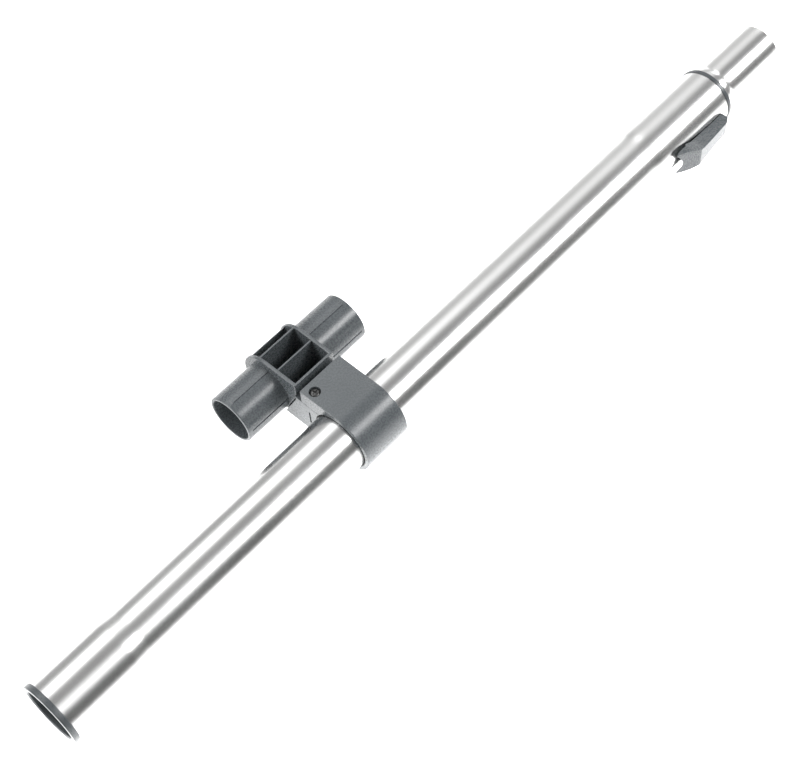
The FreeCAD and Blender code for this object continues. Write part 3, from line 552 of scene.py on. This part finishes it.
# light table, brightest beside the lever side of the wand
glow = [(-0.42, 0.40), (-0.22, 0.50), (-0.11, 1.4), (-0.03, 2.6), (0.03, 2.1), (0.06, 1.2), (0.10, 0.45), (0.14, 0.38)]
t.links.new(ramp(t, across, [(y + 0.5, (v / 3.0, v / 3.0, v / 3.0)) for y, v in glow]), p.inputs["Emission Color"])
p.inputs["Emission Strength"].default_value = 3.0
paint(floor, m)

world = bpy.data.worlds.new("studio")
scene.world = world
world.use_nodes = True
t = world.node_tree
t.nodes.clear()
out = t.nodes.new("ShaderNodeOutputWorld")
bg = t.nodes.new("ShaderNodeBackground")
t.links.new(bg.outputs[0], out.inputs[0])
# long soft boxes on either side of the top of the tent, with grey cloth between them
tc = t.nodes.new("ShaderNodeTexCoord")
sep = t.nodes.new("ShaderNodeSeparateXYZ")
t.links.new(tc.outputs["Generated"], sep.inputs[0])
ang = t.nodes.new("ShaderNodeMath")
ang.operation = "ARCTAN2"
t.links.new(sep.outputs["Z"], ang.inputs[0])
t.links.new(sep.outputs["Y"], ang.inputs[1])
deg = span(t, ang.outputs[0], -math.pi, math.pi, 0.0, 1.0)
along = span(t, sep.outputs["X"], -1.0, 1.0, 0.0, 1.0)
TOP = 3.2


def at(degrees):
    return (degrees + 180.0) / 360.0


def grey(v):
    return (v / TOP, v / TOP, v / TOP)


def lit(psi, reach):
    """Light given round the tube (degrees), scaled along the tube (x of the direction)."""
    around = ramp(t, deg, [(at(a), grey(v)) for a, v in psi])
    return mix_rgb(t, 1.0, around, ramp(t, along, [(a / 2 + 0.5, (v, v, v)) for a, v in reach]), "MULTIPLY")


cloth = [(-180, 0.45), (-20, 0.85), (-6, 0.76), (4, 0.60), (14, 0.52), (24, 0.47), (33, 0.58), (46, 0.80), (58, 0.85), (68, 0.72), (77, 0.48), (86, 0.38), (96, 0.34), (104, 0.5),
         (110, 0.95), (115, 1.35), (128, 1.35), (133, 0.95), (138, 0.42), (145, 0.20), (155, 0.12), (168, 0.12), (176, 0.18), (179.9, 0.26)]
total = ramp(t, deg, [(at(a), grey(v)) for a, v in cloth])
for psi, reach in (
        ([(31, 0.0), (38, 0.6), (45, 2.2), (63, 2.2), (69, 0.5), (75, 0.0)], [(-1.0, 1.0), (0.30, 1.0), (0.39, 0.09), (0.68, 0.05), (0.85, 1.0)]),
        ([(112, 0.0), (118, 20.0), (130, 20.0), (137, 0.0)], [(0.29, 0.0), (0.40, 1.0), (0.72, 1.0), (0.85, 0.0)]),
        ([(-20, 0.45), (10, 0.38), (35, 0.28), (60, 0.14), (80, 0.0), (140, 0.0), (150, 0.10), (179.9, 0.14)], [(0.30, 0.0), (0.45, 1.0)])):
    total = mix_rgb(t, 1.0, total, lit(psi, reach), "ADD")
t.links.new(total, bg.inputs["Color"])
bg.inputs["Strength"].default_value = TOP


def area(name, loc, aim, size_x, size_y, power, shine=True):
    data = bpy.data.lights.new(name, "AREA")
    data.shape = "RECTANGLE"
    data.size, data.size_y = size_x, size_y
    data.energy = power
    ob = bpy.data.objects.new(name, data)
    scene.collection.objects.link(ob)
    ob.location = loc
    ob.rotation_euler = (Vector(aim) - Vector(loc)).to_track_quat("-Z", "Y").to_euler()
    ob.visible_glossy = shine
    return ob


area("side_soft_box", (-1.07, 0.56, 0.56), (0.22, 0.05, 0.0), 0.25, 0.25, 11.0)

cam_data = bpy.data.cameras.new("camera")
cam_data.sensor_fit = "HORIZONTAL"
cam_data.sensor_width = 36.0
FOCAL_PX = 1647.09
cam_data.lens = FOCAL_PX * 36.0 / 800.0
cam_data.clip_start, cam_data.clip_end = 0.01, 60.0
cam = bpy.data.objects.new("camera", cam_data)
scene.collection.objects.link(cam)
right = Vector((0.674602, -0.738181, -0.000994))
down = Vector((-0.636886, -0.58135, -0.506367))
fwd = Vector((0.373213, 0.342229, -0.862317))
fwd = (fwd - right * (1.295 / FOCAL_PX) - down * (0.814 / FOCAL_PX)).normalized()
right = (right - fwd * right.dot(fwd)).normalized()
up = right.cross(fwd).normalized()
cam.matrix_world = Matrix(((right.x, up.x, -fwd.x, -0.08489), (right.y, up.y, -fwd.y, -0.320988), (right.z, up.z, -fwd.z, 0.808795), (0, 0, 0, 1)))
scene.camera = cam
scene.view_settings.view_transform = "Standard"
